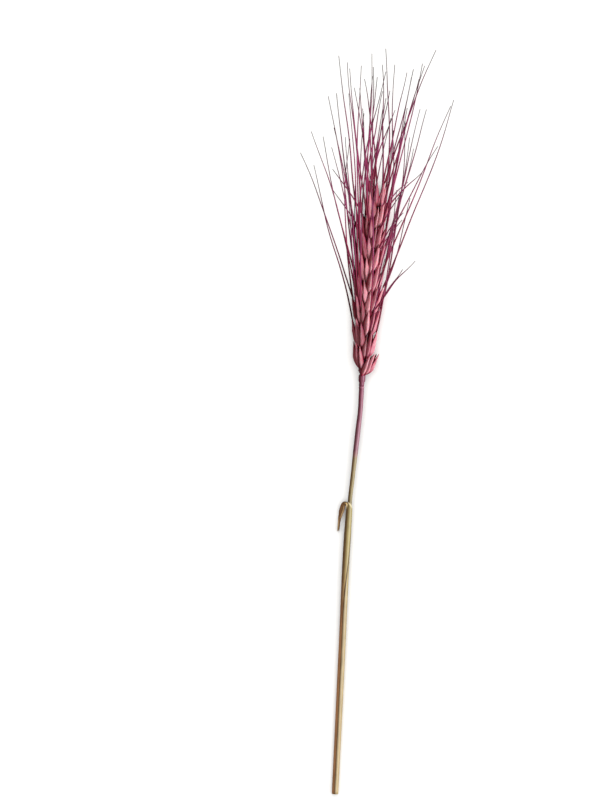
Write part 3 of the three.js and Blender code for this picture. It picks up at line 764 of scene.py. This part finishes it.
def makeStrawPiece():
    form = strawForm
    rows = int(strawLength / form["step"])
    rings = [(form["ringStep"] * row, None) for row in range(form["ringRows"])]
    rings += [(strawLength * row / rows, None) for row in range(2, rows + 1)]
    rings += [(strawLength - 0.01, form["bore"]), (strawLength - form["boreDepth"] / 2, form["bore"]),
              (strawLength - form["boreDepth"], form["bore"])]
    points, along, grain, rim = [], [], [], []
    for below, bore in rings:
        place, across, over = strawRing(below)
        radius = bore or radiusAt(form["radii"], below)
        for side in range(form["sides"]):
            turn = 2 * math.pi * side / form["sides"]
            waver = 2 * noise.noise(Vector((turn, below * 0.02, 0)))
            rib = 1 if bore else 1 + form["ribHeight"] * math.cos(form["ribs"] * turn + waver)
            points.append(place + (across * math.cos(turn) + over * math.sin(turn)) * radius * rib * mm)
            along.append(below / strawLength)
            grain.append((math.cos(turn), math.sin(turn), below))
            rim.append(form["ringPale"] * math.exp(-((below - form["ringAt"]) / form["ringWidth"]) ** 2))
    sides = form["sides"]
    faces = gridFaces(len(rings), sides, True)
    faces += [tuple(reversed(range(sides))), tuple(range((len(rings) - 1) * sides, len(rings) * sides))]
    mesh = newMesh("strawStem", points, faces, {"along": along, "grain": grain, "rim": rim})
    finishPiece(newObject("strawStem", mesh, straw), "stem")
    print("straw made")


makeStrawPiece()


# Leaf sheath, and the torn foot of its blade

sheathForm = {
    "collar": 55.5,  # mm below the ear
    "radii": [(0, 1.14), (5, 1.28), (13, 1.42), (80, 1.4), (150, 1.3)],
    "wall": 0.16, "overlap": 0.5, "lift": 0.12,
    "slant": 3.2, "slantTo": 0.3, "mouthTurn": 0.75,  # the mouth is cut at a slant
    "start": -0.45, "turn": 1.75, "turnOver": (0.05, 0.38),  # its open edge winds round, then runs straight
    "columns": 44, "rows": 110, "veins": 17, "veinHeight": 0.025,
    # How strong each colour is, where it is round the sheath, and where it sets in down the sheath
    "edgeRound": (0.94, 0.98), "edgeDown": (0.03, 0.09), "edgeFade": 0.5, "edgeFadeDown": (0.3, 0.45),
    # The warm left colour also lightens the sheath's shaded left side as painted light.
    "rim": 0.8, "stain": 0.8, "warmLeftRound": (0.1, 0.55), "warmLeftDown": (0.2, 0.5),
    "bleach": 0.7, "bleachRound": (0.65, 1.0), "bleachDown": (0.12, 0.45),
}


def makeSheath():
    form = sheathForm
    length = strawLength - form["collar"]
    points, along, grain, edge, rim, stain, bleach = [], [], [], [], [], [], []
    for row in range(form["rows"] + 1):
        share = row / form["rows"]
        for layer in (1, 0):  # outer skin one way round, then the inner skin back
            for step in range(form["columns"]):
                sweep = step / (form["columns"] - 1)
                if not layer:
                    sweep = 1 - sweep
                winding = form["turn"] * smoothStep(share, *form["turnOver"])
                angle = form["start"] + winding + sweep * (2 * math.pi + form["overlap"])
                slant = form["slant"] * (1 - math.cos(angle - math.pi * form["mouthTurn"])) / 2
                below = form["collar"] + slant * (1 - smoothStep(share, 0, form["slantTo"])) + length * share
                place, across, over = strawRing(min(below, strawLength))
                radius = radiusAt(form["radii"], length * share) + form["lift"] * sweep
                radius += layer * (form["wall"] + form["veinHeight"] * math.cos(form["veins"] * angle))
                points.append(place + (across * math.cos(angle) + over * math.sin(angle)) * radius * mm)
                along.append(share)
                grain.append((angle * radius, 0.4 * layer, below))
                # Painted shade: a dark line along the overlapping open edge, fading lower down.
                faded = 1 - form["edgeFade"] * smoothStep(share, *form["edgeFadeDown"])
                dark = smoothStep(share, *form["edgeDown"]) * faded
                edge.append(smoothStep(sweep, *form["edgeRound"]) * dark)
                rim.append(form["rim"] if row == 0 else 0)
                # Painted light: the warm, much lighter colour on the left of the open edge lifts the
                # sheath's shaded side.
                left = 1 - smoothStep(sweep, *form["warmLeftRound"])
                stain.append(form["stain"] * left * smoothStep(share, *form["warmLeftDown"]))
                right = smoothStep(sweep, *form["bleachRound"])
                bleach.append(form["bleach"] * right * smoothStep(share, *form["bleachDown"]))
    ring = 2 * form["columns"]
    faces = gridFaces(form["rows"] + 1, ring, True) + wallEnds(form["rows"], ring, True)
    mesh = newMesh("leafSheath", points, faces, {
        "along": along, "grain": grain, "edge": edge, "rim": rim, "stain": stain, "bleach": bleach})
    finishPiece(newObject("leafSheath", mesh, sheathSkin), "leaf_sheath")
    print("sheath made")


bladeForm = {
    "line": [(-1.25, -3.4, 0.2), (-1.6, -1.2, 0.3), (-3.0, -0.9, 0.2), (-4.3, -5.2, -0.6),
             (-5.7, -15.2, -1.7)],
    "width": (2.4, 0.9), "thickness": 0.22, "twist": 1.1, "fold": 0.35, "rows": 44, "columns": 11,
}
sliverForm = {
    "line": [(-1.2, -2.4, 0.9), (-1.5, -0.7, 1.0), (-2.3, -1.0, 0.9), (-3.1, -4.2, 0.5), (-4.6, -8.4, 0.0)],
    "width": (1.2, 0.5), "thickness": 0.18, "twist": 0.7, "fold": 0.15, "rows": 26, "columns": 7,
}
tornEdge = {  # on the blade's foot and its sliver
    "tear": 0.08, "ragged": 0.25, "thinning": (1.3, 0.6), "dark": 0.9, "darkFrom": (0.62, 0.98),
}


def makeBlade(name, form):
    collar = strawRing(sheathForm["collar"])[0]
    line = smoothLine([collar + Vector(point) * mm for point in form["line"]])
    lengths = measureLine(line)
    points, along, grain, edge = [], [], [], []
    for row in range(form["rows"] + 1):
        share = row / form["rows"]
        for layer in (1, 0):
            for step in range(form["columns"]):
                sweep = 2 * step / (form["columns"] - 1) - 1
                if not layer:
                    sweep = -sweep
                torn = 1 - tornEdge["tear"] * share * (1 + noise.noise(Vector((sweep * 2.5, 3.1, 0))))
                place, heading = lineAt(line, lengths, lengths[-1] * share * torn)
                flat = Matrix.Rotation(form["twist"] * (1 - share), 3, heading) @ up
                across = heading.cross(flat).normalized()
                over = across.cross(heading)
                ragged = 1 + tornEdge["ragged"] * noise.noise(Vector((share * 6, sweep, 0)))
                half = between(form["width"], share) / 2 * ragged
                thick = form["thickness"] * (tornEdge["thinning"][0] - abs(sweep) * tornEdge["thinning"][1])
                rise = form["fold"] * abs(sweep) + (layer - 0.5) * thick
                points.append(place + (across * sweep * half + over * rise) * mm)
                along.append(share)
                grain.append((sweep * half, 0.3 * layer, share * 15))
                edge.append(tornEdge["dark"] * smoothStep(abs(sweep), *tornEdge["darkFrom"]))
    ring = 2 * form["columns"]
    faces = [tuple(reversed(face)) for face in gridFaces(form["rows"] + 1, ring, True)]
    faces += wallEnds(form["rows"], ring, False)
    mesh = newMesh(name, points, faces, {"along": along, "grain": grain, "edge": edge})
    finishPiece(newObject(name, mesh, bladeSkin), "leaf_sheath")
    print("blade made:", name)


makeSheath()
makeBlade("leafBlade", bladeForm)
makeBlade("leafSliver", sliverForm)


# Floor, light and camera

studio = {
    "floor": "#f6f5f3", "floorSize": 24, "worldStrength": 0.15,
    "lamps": {  # metres and watts: a key from the right and a warm fill from the left for the stalk
        "stalkKey": {
            "place": (1.45, -0.1, 0.88), "size": 0.6, "power": 66, "colour": "#ffffff", "stage": False},
        "stalkFill": {
            "place": (-1.2, 0.2, 1.1), "size": 1.6, "power": 8, "colour": "#ffb0a8", "stage": False},
        "paperLight": {  # keeps the paper white
            "place": (0.3, 0.3, 5.6), "size": 12, "power": 870, "colour": "#ffffff", "stage": True},
    },
}
shot = {
    "pixel": 0.475,  # mm of the stalk to one pixel of the 600 x 800 picture
    "footPixel": (361.5, 386), "middlePixel": (300, 400), "height": 800,
    "distance": 1700, "sensor": 36,  # mm
}


def makeStudio():
    half = studio["floorSize"] / 2
    corners = [(-half, -half, 0), (half, -half, 0), (half, half, 0), (-half, half, 0)]
    paper = bpy.data.materials.new("palePaper")
    paper.use_nodes = True
    shader = paper.node_tree.nodes["Principled BSDF"]
    shader.inputs["Base Color"].default_value = linear(studio["floor"])
    shader.inputs["Roughness"].default_value = 0.9
    stalk = bpy.data.collections.new("stalk")
    solid = bpy.data.collections.new("solid")  # the awns are too fine to cast a shade that shows
    for piece in bpy.context.scene.objects:
        stalk.objects.link(piece)
        if piece.name != "earAwns":
            solid.objects.link(piece)
    floor = newObject("floor", newMesh("floor", corners, [(0, 1, 2, 3)]), paper)
    floor.visible_diffuse = False  # no white light thrown up from the paper, which would grey the dye
    floor.visible_glossy = False
    stage = bpy.data.collections.new("stage")
    stage.objects.link(floor)
    for name, form in studio["lamps"].items():
        lamp = bpy.data.lights.new(name, "AREA")
        lamp.size = form["size"]
        lamp.energy = form["power"]
        lamp.color = linear(form["colour"])[:3]
        holder = bpy.data.objects.new(name, lamp)
        holder.location = form["place"]
        holder.rotation_mode = "QUATERNION"
        holder.rotation_quaternion = (-holder.location).to_track_quat("-Z", "Y")
        holder.light_linking.receiver_collection = stage if form["stage"] else stalk
        holder.light_linking.blocker_collection = solid
        bpy.context.scene.collection.objects.link(holder)
    world = bpy.data.worlds.new("softRoom")
    world.use_nodes = True
    world.node_tree.nodes["Background"].inputs["Color"].default_value = linear("#ffffff")
    world.node_tree.nodes["Background"].inputs["Strength"].default_value = studio["worldStrength"]
    bpy.context.scene.world = world
    bpy.context.scene.view_settings.view_transform = "Standard"
    print("studio made")


def makeCamera():
    right, down = [
        (middle - foot) * shot["pixel"] for middle, foot in zip(shot["middlePixel"], shot["footPixel"])]
    lens = bpy.data.cameras.new("camera")
    lens.sensor_width = shot["sensor"]
    lens.lens = shot["sensor"] * shot["distance"] / (shot["height"] * shot["pixel"])
    camera = bpy.data.objects.new("camera", lens)
    camera.location = earFoot + Vector((right, -down, shot["distance"])) * mm
    bpy.context.scene.collection.objects.link(camera)
    bpy.context.scene.camera = camera
    print("camera made")


makeStudio()
makeCamera()
